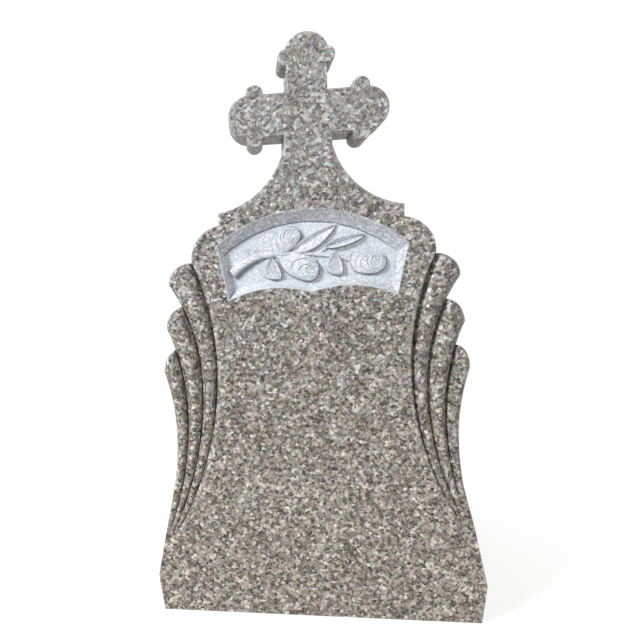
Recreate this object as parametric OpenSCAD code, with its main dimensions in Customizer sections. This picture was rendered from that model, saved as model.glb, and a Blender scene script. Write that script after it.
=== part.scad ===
// Granite grave stele: a waisted slab with a concave gable and a trefoil cross,
// three fluted rolls down each side and a frosted arched panel with a rose spray.
// Millimetres, Z up, the front faces -Y, origin at the middle of the base on the ground.

/* [Slab] */
// Height from the ground to the top of the cross
total_h = 1250; // [1120:10:1500]
// Width across the widest part of the foot
total_w = 700; // [600:10:900]
// Thickness of the slab from front to back
slab_t = 80; // [80:5:150]

/* [Foot] */
// Height of the widest part of the foot
foot_h = 82; // [40:2:120]
// How far each side of the foot leans in at the ground
foot_lean = 11; // [0:1:20]
// Height where the straight flare of the foot turns into the waist
flare_h = 300; // [200:5:330]
// How far the slab stands out there beyond its narrowest, on each side
flare_out = 7; // [4:1:30]

/* [Field] */
// Width of the smooth field at its waist
waist_w = 406; // [340:2:480]
// Height of the waist of the field
waist_h = 550; // [460:5:600]
// How far each shoulder stands out beyond the waist
shoulder_out = 48; // [20:1:70]
// Height of the rounded shoulders
shoulder_h = 76; // [40:2:100]

/* [Gable] */
// How far each step under the gable lies in from the shoulder
step_in = 61; // [40:2:90]
// Height of the upright face of each step
step_h = 26; // [10:1:40]
// Height of the gable from the steps to the neck of the cross
gable_h = 131; // [100:5:180]
// Radius of the hollow slope of the gable
gable_r = 173; // [150:5:300]

/* [Cross] */
// Height of the cross above its neck
cross_h = 230; // [160:5:260]
// Width of the cross over the tips of its arms
cross_w = 326; // [240:4:360]
// Width of the neck under the arms
neck_w = 98; // [70:2:110]
// Width of the shaft above the arms
shaft_w = 82; // [60:2:90]
// Height of the arms
arm_h = 88; // [60:2:100]
// Distance from the top of the cross down to the middle of its arms
arm_drop = 163; // [130:2:170]
// Radius of the round head of the shaft
crown_r = 45; // [30:1:45]
// Radius of the small buds beside each round end
bud_r = 18; // [8:1:20]

/* [Side rolls] */
// Widths of the inner and middle roll at their narrowest
roll_w = [34, 36]; // [20:1:60]
// Width of the outer roll at its narrowest
outer_w = 25; // [10:1:40]
// Heights at which the outer edges of the inner and middle roll are narrowest
roll_waist_h = [508, 442]; // [350:5:600]
// Height at which the outer edge of the outer roll is narrowest
outer_waist_h = 395; // [335:5:450]
// Heights where the rolls run out into the foot, left and right
tail_h = [165, 190]; // [120:5:240]
// Widths of the inner and middle roll where they run out, left and right
tail_w = [7.5, 3.5]; // [3:0.5:15]
// Widths of the outer roll where it runs out, left and right
outer_tail_w = [4, 3]; // [3:1:20]
// Drop from the shoulders to the widest point of the first roll head
head_drop = 48; // [30:2:80]
// Drop from one roll head to the next
head_pitch = 97; // [70:1:110]
// How far the inner, middle and outer roll head stand out beyond their narrowest
head_over = [68.5, 41, 25]; // [10:0.5:80]
// Radii of the rounded heads of the inner, middle and outer roll
head_r = [47, 50, 58]; // [30:1:70]
// How deep the grooves may be cut beside a roll
groove_max = 24; // [10:1:40]
// How far the crest of a roll lies behind the smooth field
roll_set = 2; // [0:0.5:10]

/* [Rose panel] */
// Depth of the panel below the face
panel_d = 22; // [12:1:35]
// Thickness of the frosted layer behind the panel floor
panel_t = 8; // [4:1:15]
// Border left on the shoulders at each end of the panel's arch
panel_border = 54; // [36:1:70]
// How far the left and right side of the panel lean in towards its foot
panel_lean = [28, 31]; // [0:1:45]
// Height of the crown of the arch above the shoulder line
panel_crown = 102; // [90:2:120]
// Radius of the arch over the panel
arch_r = 300; // [260:2:400]
// How far the crown of the arch stands to the right of the panel's middle, or to the left below 0
arch_shift = -8; // [-15:1:15]
// How far the left and right hump stand from the panel's middle
hump_x = [72, 73]; // [40:1:100]
// Heights of the left and right hump below the shoulder line
hump_drop = [62, 61]; // [40:1:80]
// Radius of the two humps
hump_r = 230; // [180:1:320]
// How far the panel stands to the right of the slab's middle
panel_shift = 2; // [0:1:15]
// Slope of the arch reveal, measured across the face
arch_splay = 24; // [0:1:40]
// Slope of the side reveals, measured across the face
side_splay = 11; // [0:1:20]
// Slope of the foot reveal, measured across the face
foot_splay = 16; // [0:1:25]

/* [Carving] */
// Width of panel that the spray of roses is drawn for
spray_w = 394; // [340:2:460]
// Height of the roses above the panel floor
rose_h = 18; // [8:1:22]
// Height of the leaves that lie close to the floor
leaf_h = 8; // [4:1:14]
// Height of the leaves that stand proud of the floor
proud_leaf_h = 13; // [6:1:18]
// Thickness of the rose stem at its cut end
stem_d = 24; // [12:1:30]

/* [Hidden] */
$fn = 72;

granite = [0.55, 0.51, 0.49];
frosted = [0.82, 0.85, 0.90];

neck_z = total_h - cross_h;
step_z = neck_z - gable_h;
shoulder_top = step_z - step_h;
shoulder_z = shoulder_top - shoulder_h;
foot_x = total_w / 2;
shoulder_x = waist_w / 2 + shoulder_out;
step_x = shoulder_x - step_in;
panel_w = 2 * (shoulder_x - panel_border);
panel_crown_z = shoulder_z + panel_crown;
panel_spring_z = panel_crown_z - arch_r + sqrt(arch_r * arch_r - pow(panel_w / 2, 2));
panel_foot_z = shoulder_z - 120;
face_y = -slab_t / 2;
floor_y = face_y + panel_d;
big = 2 * total_h;
// Narrow land left round the panel, so that its reveals do not run out to a feather edge.
rim = 1;
// Roundness of the roll heads towards the front, the length over which the grooves fade
// and the share of their depth that is left at the tail.
nose = 22;
fade_h = 70;
tail_left = 0.15;
groove_ratio = 0.55;
// Levels and points that the rolls are lofted through.
arc_steps = 9;
tail_steps = 20;
pitch_steps = 5;
head_steps = 8;
// Narrower panels take the spray smaller; wider ones leave it as it is.
spray = min(1, panel_w / spray_w);

// The four groove lines of side s (0 left, 1 right), from the edge of the field outwards.
function line_x(i) =
    waist_w / 2 + (i > 0 ? roll_w[0] : 0) + (i > 1 ? roll_w[1] : 0) + (i > 2 ? outer_w : 0);
function line_h(i) = i == 0 ? waist_h : i < 3 ? roll_waist_h[i - 1] : outer_waist_h;
outer_x = line_x(3) + flare_out;
function head_z(i) = shoulder_z - head_drop - i * head_pitch;
function head_out(i) = line_x(i + 1) + head_over[i];
function flare_x(z) = outer_x + (foot_x - outer_x) * (flare_h - z) / (flare_h - foot_h);
function tail_x(i, s) = flare_x(tail_h[s]) - (i < 3 ? outer_tail_w[s] + (2 - i) * tail_w[s] : 0);
function top_x(i) = i == 0 ? shoulder_x : head_out(i - 1);
function top_z(i) = i == 0 ? shoulder_z : head_z(i - 1);

// An arc that stands upright at (x0, z0) and passes through (x1, z1).
function bow_r(x0, z0, x1, z1) = (pow(z1 - z0, 2) + pow(x1 - x0, 2)) / (2 * (x1 - x0));
function bow(z, x0, z0, x1, z1) = let (r = bow_r(x0, z0, x1, z1)) x0 + r - sqrt(r * r - pow(z - z0, 2));
function low_end(i, s) = i == 3 ? [outer_x, flare_h] : [tail_x(i, s), tail_h[s]];
function groove_x(i, z, s) =
    z >= line_h(i) ? bow(z, line_x(i), line_h(i), top_x(i), top_z(i))
    : i == 3 && z < flare_h ? flare_x(z)
    : bow(z, line_x(i), line_h(i), low_end(i, s)[0], low_end(i, s)[1]);

// Centre of an arc of radius r through a and b, on the left of the way from a to b.
function arc_centre(a, b, r) =
    let (d = b - a, n = [-d[1], d[0]] / norm(d)) (a + b) / 2 + n * sqrt(r * r - pow(norm(d) / 2, 2));

module upright(y_front, t) {
    translate([0, y_front + t, 0]) rotate([90, 0, 0]) linear_extrude(t) children();
}

module both_sides() {
    children();
    mirror([1, 0]) children();
}

// A disc that cuts the field's side to its bow, kept between two heights.
module field_cut(x1, z1, z_from, z_to) {
    r = bow_r(waist_w / 2, waist_h, x1, z1);
    intersection() {
        translate([waist_w / 2 + r, waist_h]) circle(r = r);
        translate([0, z_from]) square([foot_x + 1, z_to - z_from]);
    }
}

module field_half(s) {
    difference() {
        polygon([[0, 0], [foot_x - foot_lean, 0], [foot_x - 1, foot_h - 12], [foot_x, foot_h],
                 [flare_x(tail_h[s]), tail_h[s]], [foot_x, tail_h[s]], [foot_x, shoulder_z], [0, shoulder_z]]);
        field_cut(tail_x(0, s), tail_h[s], tail_h[s], waist_h);
        field_cut(shoulder_x, shoulder_z, waist_h, shoulder_z + 1);
    }
}

module shoulder_half() {
    a = [shoulder_x, shoulder_z];
    b = [step_x, shoulder_top];
    r = norm(b - a) / sqrt(2) * 1.02;
    intersection() {
        translate(arc_centre(a, b, r)) circle(r = r);
        translate([0, shoulder_z]) square([2 * shoulder_x, shoulder_h]);
    }
    translate([0, shoulder_z]) square([step_x, shoulder_h]);
}

module gable_half() {
    a = [step_x, step_z];
    b = [neck_w / 2, neck_z];
    difference() {
        translate([0, shoulder_top]) square([step_x, neck_z - shoulder_top]);
        translate(arc_centre(b, a, gable_r)) circle(r = gable_r);
    }
}

// The outline of the panel on the face, about the panel's middle.
module panel_outline() {
    difference() {
        intersection() {
            translate([arch_shift, panel_crown_z - arch_r]) circle(r = arch_r);
            polygon([[panel_lean[0] - panel_w / 2, panel_foot_z], [panel_w / 2 - panel_lean[1], panel_foot_z],
                     [panel_w / 2, panel_spring_z], [panel_w / 2, panel_crown_z],
                     [-panel_w / 2, panel_crown_z], [-panel_w / 2, panel_spring_z]]);
        }
        for (s = [0, 1])
            translate([(2 * s - 1) * hump_x[s], shoulder_z - hump_drop[s] - hump_r]) circle(r = hump_r);
    }
}

module stele() {
    color(granite) difference() {
        upright(face_y, slab_t) {
            field_half(1);
            mirror([1, 0]) field_half(0);
            both_sides() { shoulder_half(); gable_half(); }
        }
        translate([panel_shift, 0, 0]) upright(face_y - 1, panel_d + panel_t + 1) panel_outline();
    }
}

// Half-space outside a reveal of the panel: it leans with the side and opens to the front.
module side_reveal(s) {
    turn = atan(side_splay / panel_d);
    lean = atan(panel_lean[s] / (panel_spring_z - panel_foot_z) * cos(turn));
    translate([panel_w / 2 - panel_lean[s] - rim, face_y, panel_foot_z])
        rotate([0, lean, turn]) translate([0, -big / 2, -big / 2]) cube([big, big, big]);
}

// The hollow of the panel in front of its floor, with sloping reveals.
module panel_hollow() {
    ahead = 2;
    grow = ahead / panel_d;
    difference() {
        translate([arch_shift, floor_y, panel_crown_z - arch_r]) rotate([90, 0, 0])
            cylinder(h = panel_d + ahead, r1 = arch_r - rim - arch_splay, r2 = arch_r - rim + arch_splay * grow);
        for (s = [0, 1]) mirror([1 - s, 0, 0]) {
            side_reveal(s);
            translate([hump_x[s], floor_y, shoulder_z - hump_drop[s] - hump_r]) rotate([90, 0, 0])
                cylinder(h = panel_d + ahead + 1, r1 = hump_r + rim + foot_splay,
                         r2 = hump_r + rim - foot_splay * (grow + 1 / panel_d));
        }
        translate([-big / 2, face_y - big / 2, panel_foot_z - big]) cube([big, big, big]);
    }
}

module frosted_panel() {
    color(frosted) translate([panel_shift, 0, 0]) difference() {
        upright(face_y, panel_d + panel_t) panel_outline();
        panel_hollow();
    }
}

module cross() {
    arm_z = total_h - arm_drop;
    arm_end = cross_w / 2 - arm_h / 2;
    bud_x = arm_end - 11;
    crown_z = total_h - crown_r;
    side_bud_z = crown_z - 4;
    color(granite) upright(face_y, slab_t) {
        translate([-neck_w / 2, neck_z]) square([neck_w, arm_z - neck_z]);
        translate([-shaft_w / 2, arm_z]) square([shaft_w, side_bud_z - arm_z]);
        translate([-bud_x, arm_z - arm_h / 2]) square([2 * bud_x, arm_h]);
        translate([0, crown_z]) circle(r = crown_r);
        both_sides() {
            translate([arm_end, arm_z]) circle(r = arm_h / 2);
            for (s = [-1, 1]) translate([bud_x, arm_z + s * (arm_h / 2 + 2)]) circle(r = bud_r);
            translate([crown_r - 4, side_bud_z]) circle(r = bud_r - 1);
        }
    }
}

// The groove lines are straight between evenly spaced levels, so that neighbouring rolls meet.
function low_step(s) = (head_z(2) - tail_h[s]) / tail_steps;
high_step = head_pitch / pitch_steps;
function level_under(z, s) = z < head_z(2) ? tail_h[s] + floor((z - tail_h[s]) / low_step(s)) * low_step(s)
    : head_z(2) + floor((z - head_z(2)) / high_step) * high_step;
function wall(i, z, s) =
    let (z0 = level_under(z, s), step = z < head_z(2) ? low_step(s) : high_step, x0 = groove_x(i, z0, s))
    z - z0 < 0.001 ? x0 : x0 + (groove_x(i, z0 + step, s) - x0) * (z - z0) / step;
// The outer side of roll i: its groove line up to the head, then the round of the head.
function roll_out(i, z, s) = z <= head_z(i) ? wall(i + 1, z, s)
    : head_out(i) - head_r[i] + sqrt(max(0, pow(head_r[i], 2) - pow(z - head_z(i), 2)));
// Depth of the groove beside a roll at height z: deep along the roll, fading into the foot.
function fade(z, s) = let (t = min(1, (z - tail_h[s]) / fade_h)) tail_left + (1 - tail_left) * t * t * (3 - 2 * t);
function roll_front(i, z, s) =
    let (top = head_z(i) + head_r[i], t = max(0, (z - (top - nose)) / nose))
    face_y + roll_set * fade(z, s) + nose * (1 - sqrt(max(0, 1 - t * t)));
// One level of a roll: a half oval front between its two grooves and a flat back.
function roll_ring(i, z, s) =
    let (a = wall(i, z, s), b = max(a + 0.2, roll_out(i, z, s)), w = b - a,
         deep = min(groove_max, groove_ratio * w) * fade(z, s), y0 = roll_front(i, z, s))
    [for (k = [0:arc_steps]) let (q = 180 * k / arc_steps)
         [a + w * (1 - cos(q)) / 2, y0 + deep * (1 - sin(q)), z],
     [b, -face_y, z], [a, -face_y, z]];
// Heights of the levels of roll i: even up to its widest point, closer round its head.
function roll_levels(i, s) =
    let (top = head_top(i, s), q1 = asin((top - head_z(i)) / head_r[i]))
    [for (k = [0:tail_steps]) tail_h[s] + low_step(s) * k,
     for (k = [1:pitch_steps * (2 - i)]) head_z(2) + high_step * k,
     for (k = [1:head_steps]) head_z(i) + head_r[i] * sin(q1 * k / head_steps)];
// Top of the head: where its round meets the groove line of the roll before it.
function head_top(i, s, n = 24) =
    let (z = [for (k = [0:n]) head_z(i) + head_r[i] * k / n],
         ok = [for (v = z) if (roll_out(i, v, s) > wall(i, v, s) + 2) v])
    ok[len(ok) - 1];

module roll(i, s) {
    rings = [for (z = roll_levels(i, s)) roll_ring(i, z, s)];
    n = len(rings[0]);
    m = len(rings);
    polyhedron(
        points = [for (r = rings) for (p = r) p],
        faces = [[for (k = [0:n - 1]) k],
                 for (j = [0:m - 2]) for (k = [0:n - 1])
                     let (a = j * n + k, b = j * n + (k + 1) % n) each [[a, a + n, b], [b, a + n, b + n]],
                 [for (k = [n - 1:-1:0]) (m - 1) * n + k]],
        convexity = 6);
}

module right_inner_roll() { color(granite) roll(0, 1); }
module right_middle_roll() { color(granite) roll(1, 1); }
module right_outer_roll() { color(granite) roll(2, 1); }
module left_inner_roll() { color(granite) mirror([1, 0, 0]) roll(0, 0); }
module left_middle_roll() { color(granite) mirror([1, 0, 0]) roll(1, 0); }
module left_outer_roll() { color(granite) mirror([1, 0, 0]) roll(2, 0); }

// Carving is modelled flat, with the panel floor at z = 0, and stood up on the panel here.
module on_floor(x, z, angle = 0) {
    color(frosted) translate([panel_shift + spray * x, floor_y, shoulder_z + spray * z])
        rotate([90, 0, 0]) rotate([0, 0, angle]) scale([spray, spray, spray]) intersection() {
            children();
            translate([-200, -200, 0]) cube([400, 400, panel_d]);
        }
}

// A pointed leaf from the origin along X, fuller on one side of its vein and folded along it.
function leaf_r(len, bulge) = (len * len / 4 + bulge * bulge) / (2 * bulge);
module leaf_side(len, bulge, high, side) {
    r = leaf_r(len, bulge);
    translate([len / 2, side * (bulge - r), 0]) cylinder(h = high, r1 = r, r2 = r - 1, $fn = 360);
}
module leaf(len, up, low, high) {
    fold = high * 0.6;
    difference() {
        intersection() {
            leaf_side(len, up, high, 1);
            leaf_side(len, low, high, -1);
        }
        translate([0, 0, high]) rotate([45, 0, 0]) cube([3 * len, fold, fold], center = true);
    }
}

// A rose lying along X: the cup of the calyx, the round of the petals, and its mouth with a
// rolled rim round the heart.
module rose(len, wide, mouth, tilt) {
    r = wide / 2;
    rim_r = r * 0.42;
    curl = r * 0.15;
    sunk = r - rose_h;
    difference() {
        union() {
            translate([0, 0, -sunk]) rotate([0, 90, 0]) cylinder(h = len - r, r1 = r * 0.6, r2 = r * 0.97);
            translate([len - r, 0, -sunk]) sphere(r = r);
        }
        translate([mouth, 0, rose_h]) rotate([0, tilt, 0]) translate([0, 0, rim_r * 0.4]) sphere(r = rim_r);
    }
    translate([mouth, 0, rose_h - curl]) rotate([0, tilt, 0]) {
        rotate_extrude() translate([rim_r, 0]) circle(r = curl);
        translate([0, 0, -rim_r * 0.35]) sphere(r = rim_r * 0.55);
    }
}

// The stem: tapering lengths with a slightly swollen knot at each bend.
module stem(points) {
    for (i = [0:len(points) - 2]) {
        a = points[i];
        b = points[i + 1];
        translate([a[0], a[1], 0]) rotate([0, 90, atan2(b[1] - a[1], b[0] - a[0])])
            cylinder(h = norm([b[0] - a[0], b[1] - a[1]]), r1 = stem_d * a[2] / 2, r2 = stem_d * b[2] / 2);
        if (i > 0) translate([a[0], a[1], 0]) sphere(r = stem_d * a[2] / 2 + 0.6);
    }
}

// Points of the stem: across, up and share of the thickness at its cut end.
module rose_stem() {
    on_floor(0, 0) stem([[-164, -26, 1], [-143, -9, 0.92], [-120, 4, 0.75], [-98, 10, 0.58], [-68, 11, 0.46],
                         [-27, 11, 0.38], [23, 7, 0.33], [63, 0, 0.33], [87, -9, 0.33]]);
}
module upper_rose() { on_floor(-66, 10, 59) rose(62, 46, 48, 24); }
module lower_rose() { on_floor(-67, 2, -24) rose(88, 46, 69, 0); }
module right_rose() { on_floor(80, -11, -5) rose(75, 42, 55, 0); }
module left_leaf() { on_floor(-102, 11, 157) leaf(38, 7, 7, leaf_h); }
module top_left_leaf() { on_floor(-39, 16, 28) leaf(105, 8, 21, proud_leaf_h); }
module top_right_leaf() { on_floor(33, 23, 12) leaf(80, 10, 13, proud_leaf_h); }
module lower_left_leaf() { on_floor(-82, 6, -70) leaf(48, 24, 6, proud_leaf_h); }
module lower_right_leaf() { on_floor(50, 8, -78) leaf(46, 6, 25, proud_leaf_h); }

stele();
cross();
frosted_panel();
left_inner_roll();
left_middle_roll();
left_outer_roll();
right_inner_roll();
right_middle_roll();
right_outer_roll();
rose_stem();
upper_rose();
lower_rose();
right_rose();
left_leaf();
top_left_leaf();
top_right_leaf();
lower_left_leaf();
lower_right_leaf();
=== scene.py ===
"""Granite grave stele with a trefoil cross, fluted side rolls and a frosted rose panel.

Sizes are in millimetres in the frame of the CAD model, and are turned into metres where
a mesh is made. X runs across from the middle of the stone, Z up from the ground, and Y
from the face at the front to the back. Side 0 is the left side of the stone, side 1 the
right, and the half outlines are drawn on the right and mirrored for the left.
"""
import math

import bmesh
import bpy
import numpy as np
from mathutils import Matrix, Vector


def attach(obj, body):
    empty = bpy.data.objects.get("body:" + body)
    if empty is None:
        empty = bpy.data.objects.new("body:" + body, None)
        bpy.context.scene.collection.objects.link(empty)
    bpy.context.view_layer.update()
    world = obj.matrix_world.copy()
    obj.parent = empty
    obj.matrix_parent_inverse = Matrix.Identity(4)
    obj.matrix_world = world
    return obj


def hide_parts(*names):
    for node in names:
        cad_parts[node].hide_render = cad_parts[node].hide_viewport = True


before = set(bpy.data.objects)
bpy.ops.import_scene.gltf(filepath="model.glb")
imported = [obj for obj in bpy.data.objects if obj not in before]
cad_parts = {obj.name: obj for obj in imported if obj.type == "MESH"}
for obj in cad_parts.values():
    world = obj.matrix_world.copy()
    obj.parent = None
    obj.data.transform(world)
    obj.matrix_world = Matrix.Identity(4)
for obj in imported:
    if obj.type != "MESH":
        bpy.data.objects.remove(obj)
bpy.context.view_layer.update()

MM = 0.001                           # metres in a millimetre

# ---------------------------------------------------------------- sizes of the stone
# Overall height, half the width over the foot, and the planes of the face and the back
TOTAL_H, HALF_W, FACE_Y, BACK_Y = 1250.0, 350.0, -40.0, 40.0
# Foot: height of its widest part, lean in at the ground, and where its flare ends
FOOT_H, FOOT_LEAN, FLARE_H, FLARE_OUT = 82.0, 11.0, 300.0, 7.0
# How far the corner at the foot's widest part is eased in, and how far below it that starts
CORNER_IN, CORNER_DOWN = 1.0, 12.0
# Half the width at the waist, its height, and the rounded shoulders above it
WAIST_X, WAIST_H, SHOULDER_OUT, SHOULDER_H = 203.0, 550.0, 48.0, 76.0
SHOULDER_EASE = 1.02                 # radius of the shoulder, in radii of a quarter circle
# Steps under the gable, and the gable's height and hollow slope
STEP_IN, STEP_H, GABLE_H, GABLE_R = 61.0, 26.0, 131.0, 173.0
# Cross: height, and half the widths over the arms, at the neck and at the shaft
CROSS_H, CROSS_X, NECK_X, SHAFT_X = 230.0, 163.0, 49.0, 41.0
# Height of the arms, drop from the top to their middle, and radii of the round ends
ARM_H, ARM_DROP, CROWN_R, BUD_R = 88.0, 163.0, 45.0, 18.0
# Buds of an arm: set in from the middle of its round end and set off the arm; buds beside the
# crown: set in and down from its widest point, and their radius
BUD_IN, BUD_OFF, SIDE_BUD_IN, SIDE_BUD_R = 11.0, 2.0, 4.0, 17.0
# Rolls, inner to outer: narrowest widths and the heights of their outer lines' waists
ROLL_W, ROLL_WAIST_H = (34.0, 36.0, 25.0), (508.0, 442.0, 395.0)
# Left and right: height where the rolls run out into the foot, widths of the inner two there
# and of the outer one
TAIL_H, TAIL_W, OUTER_TAIL_W = (165.0, 190.0), (7.5, 3.5), (4.0, 3.0)
# Roll heads: drop from the shoulder, drop from head to head, how far they stand out, radii
HEAD_DROP, HEAD_PITCH, HEAD_OVER, HEAD_R = 48.0, 97.0, (68.5, 41.0, 25.0), (47.0, 50.0, 58.0)
# Grooves' greatest depth and depth for their width, set-back of the crests, rounded noses
GROOVE_MAX, GROOVE_RATIO, ROLL_SET, NOSE = 24.0, 0.55, 2.0, 22.0
# Panel: depth, border beside its arch, lean of its two sides, crown above the shoulder line
PANEL_D, PANEL_BORDER, PANEL_LEAN, PANEL_CROWN = 22.0, 54.0, (28.0, 31.0), 102.0
# The arch over the panel, and the two humps along its foot
ARCH_R, ARCH_SHIFT, HUMP_X, HUMP_DROP, HUMP_R = 300.0, -8.0, (72.0, 73.0), (62.0, 61.0), 230.0
# Set-off of the panel to the right, frosting behind its floor, spread of its reveals from the
# edge to the floor at the arch, the sides and the foot, and the narrow land inside its edge
PANEL_SHIFT, PANEL_T, ARCH_SPLAY, SIDE_SPLAY, FOOT_SPLAY, RIM = 2.0, 8.0, 24.0, 11.0, 16.0, 1.0
SIDE_DROP = 120.0                    # how far below the shoulder line the panel's sides are drawn

NECK_Z = TOTAL_H - CROSS_H
STEP_Z = NECK_Z - GABLE_H
SHOULDER_TOP = STEP_Z - STEP_H
SHOULDER_Z = SHOULDER_TOP - SHOULDER_H
SHOULDER_X = WAIST_X + SHOULDER_OUT
STEP_X = SHOULDER_X - STEP_IN
PANEL_X = SHOULDER_X - PANEL_BORDER
CROWN_Z = SHOULDER_Z + PANEL_CROWN
SPRING_Z = CROWN_Z - ARCH_R + math.sqrt(ARCH_R ** 2 - PANEL_X ** 2)
SIDE_FOOT_Z = SHOULDER_Z - SIDE_DROP
FLOOR_Y = FACE_Y + PANEL_D


# ---------------------------------------------------------------- lines of the side rolls
# Line i is the inner side of roll i, counted outwards, and line 3 the outer side of the last.
def line_x(i):
    """X of line i at its narrowest."""
    return WAIST_X + sum(ROLL_W[:i])


def line_h(i):
    """Height at which line i is narrowest."""
    return (WAIST_H, *ROLL_WAIST_H)[i]


OUTER_X = line_x(3) + FLARE_OUT


def head_z(i):
    """Height of the widest point of a roll's head."""
    return SHOULDER_Z - HEAD_DROP - i * HEAD_PITCH


def head_out(i):
    """X of the widest point of a roll's head."""
    return line_x(i + 1) + HEAD_OVER[i]


def flare_x(z):
    """X of the straight flare of the foot."""
    return OUTER_X + (HALF_W - OUTER_X) * (FLARE_H - z) / (FLARE_H - FOOT_H)


def tail_x(i, s):
    """X of line i where the rolls of side s run out into the foot."""
    return flare_x(TAIL_H[s]) - (OUTER_TAIL_W[s] + (2 - i) * TAIL_W[s] if i < 3 else 0)


def bow(z, x0, z0, x1, z1):
    """X at height z on the arc that stands upright at (x0, z0) and ends at (x1, z1)."""
    r = ((z1 - z0) ** 2 + (x1 - x0) ** 2) / (2 * (x1 - x0))
    return x0 + r - math.sqrt(r * r - (z - z0) ** 2)


def groove_x(i, z, s):
    """X of line i of side s, bowed upwards to a roll head and downwards to the foot."""
    x0, z0 = line_x(i), line_h(i)
    if z >= z0:
        x1, z1 = (SHOULDER_X, SHOULDER_Z) if i == 0 else (head_out(i - 1), head_z(i - 1))
        return bow(z, x0, z0, x1, z1)
    if i == 3:
        return flare_x(z) if z < FLARE_H else bow(z, x0, z0, OUTER_X, FLARE_H)
    return bow(z, x0, z0, tail_x(i, s), TAIL_H[s])


def roll_out(i, z, s):
    """X of the outer side of roll i, with its round head."""
    if z <= head_z(i):
        return groove_x(i + 1, z, s)
    return head_out(i) - HEAD_R[i] + math.sqrt(max(0.0, HEAD_R[i] ** 2 - (z - head_z(i)) ** 2))


# ---------------------------------------------------------------- outline helpers
def arc(cx, cz, r, a0, a1, n):
    """n + 1 points on a circle from angle a0 to a1, in radians."""
    return [(cx + r * math.cos(a0 + (a1 - a0) * k / n), cz + r * math.sin(a0 + (a1 - a0) * k / n))
            for k in range(n + 1)]


def arc_between(c, r, p, q, n, way):
    """Arc round c from p to q, turning way (+1 anticlockwise, -1 clockwise)."""
    a0 = math.atan2(p[1] - c[1], p[0] - c[0])
    a1 = math.atan2(q[1] - c[1], q[0] - c[0])
    if way > 0 and a1 < a0:
        a1 += 2 * math.pi
    if way < 0 and a1 > a0:
        a1 -= 2 * math.pi
    return arc(c[0], c[1], r, a0, a1, n)


def circles_meet(c0, r0, c1, r1, left):
    """Where two circles cross, on the left or right of the way from c0 to c1."""
    dx, dz = c1[0] - c0[0], c1[1] - c0[1]
    d = math.hypot(dx, dz)
    a = (r0 * r0 - r1 * r1 + d * d) / (2 * d)
    h = math.sqrt(max(0.0, r0 * r0 - a * a)) * (1 if left else -1)
    return (c0[0] + (a * dx - h * dz) / d, c0[1] + (a * dz + h * dx) / d)


def arc_centre(a, b, r):
    """Centre of the circle of radius r through a and b, to the left of the way from a to b."""
    dx, dz = b[0] - a[0], b[1] - a[1]
    d = math.hypot(dx, dz)
    h = math.sqrt(r * r - d * d / 4)
    return ((a[0] + b[0]) / 2 - dz / d * h, (a[1] + b[1]) / 2 + dx / d * h)


def line_circle(p, q, c, r, first):
    """Where the line from p to q crosses a circle, first or last on the way."""
    dx, dz = q[0] - p[0], q[1] - p[1]
    fx, fz = p[0] - c[0], p[1] - c[1]
    a, b, k = dx * dx + dz * dz, 2 * (fx * dx + fz * dz), fx * fx + fz * fz - r * r
    root = math.sqrt(b * b - 4 * a * k)
    t = (-b - root) / (2 * a) if first else (-b + root) / (2 * a)
    return (p[0] + t * dx, p[1] + t * dz)


def straight(p, q, n):
    """n points on the way from p to q, with p and without q."""
    return [(p[0] + (q[0] - p[0]) * t, p[1] + (q[1] - p[1]) * t) for t in (k / n for k in range(n))]


BUD_STEPS, ARM_STEPS, CROWN_STEPS = 18, 40, 22
EDGE_STEPS, SHOULDER_STEPS, GABLE_STEPS = 90, 20, 40
HUMP_STEPS, SIDE_STEPS, ARCH_STEPS = (30, 40), 24, 80


def cross_half():
    """Right half of the cross, from the foot of its neck to its top."""
    arm_z, arm_end = TOTAL_H - ARM_DROP, CROSS_X - ARM_H / 2
    bud_x, low, high = arm_end - BUD_IN, arm_z - ARM_H / 2, arm_z + ARM_H / 2
    end, low_bud, top_bud = (arm_end, arm_z), (bud_x, low - BUD_OFF), (bud_x, high + BUD_OFF)
    crown_z = TOTAL_H - CROWN_R
    crown, side_bud = (0, crown_z), (CROWN_R - SIDE_BUD_IN, crown_z - SIDE_BUD_IN)
    reach = math.sqrt(BUD_R ** 2 - BUD_OFF ** 2)
    pts = [(NECK_X, NECK_Z), (NECK_X, low)]
    p0, p1 = (bud_x - reach, low), circles_meet(low_bud, BUD_R, end, ARM_H / 2, False)
    pts += arc_between(low_bud, BUD_R, p0, p1, BUD_STEPS, 1)
    p2 = circles_meet(top_bud, BUD_R, end, ARM_H / 2, True)
    pts += arc_between(end, ARM_H / 2, p1, p2, ARM_STEPS, 1)[1:]
    pts += arc_between(top_bud, BUD_R, p2, (bud_x - reach, high), BUD_STEPS, 1)[1:]
    pts += [(SHAFT_X, high)]
    rise = math.sqrt(SIDE_BUD_R ** 2 - (side_bud[0] - SHAFT_X) ** 2)
    p3 = circles_meet(side_bud, SIDE_BUD_R, crown, CROWN_R, False)
    pts += arc_between(side_bud, SIDE_BUD_R, (SHAFT_X, side_bud[1] - rise), p3, BUD_STEPS, 1)
    pts += arc_between(crown, CROWN_R, p3, (0, TOTAL_H), CROWN_STEPS, 1)[1:]
    return pts


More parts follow.
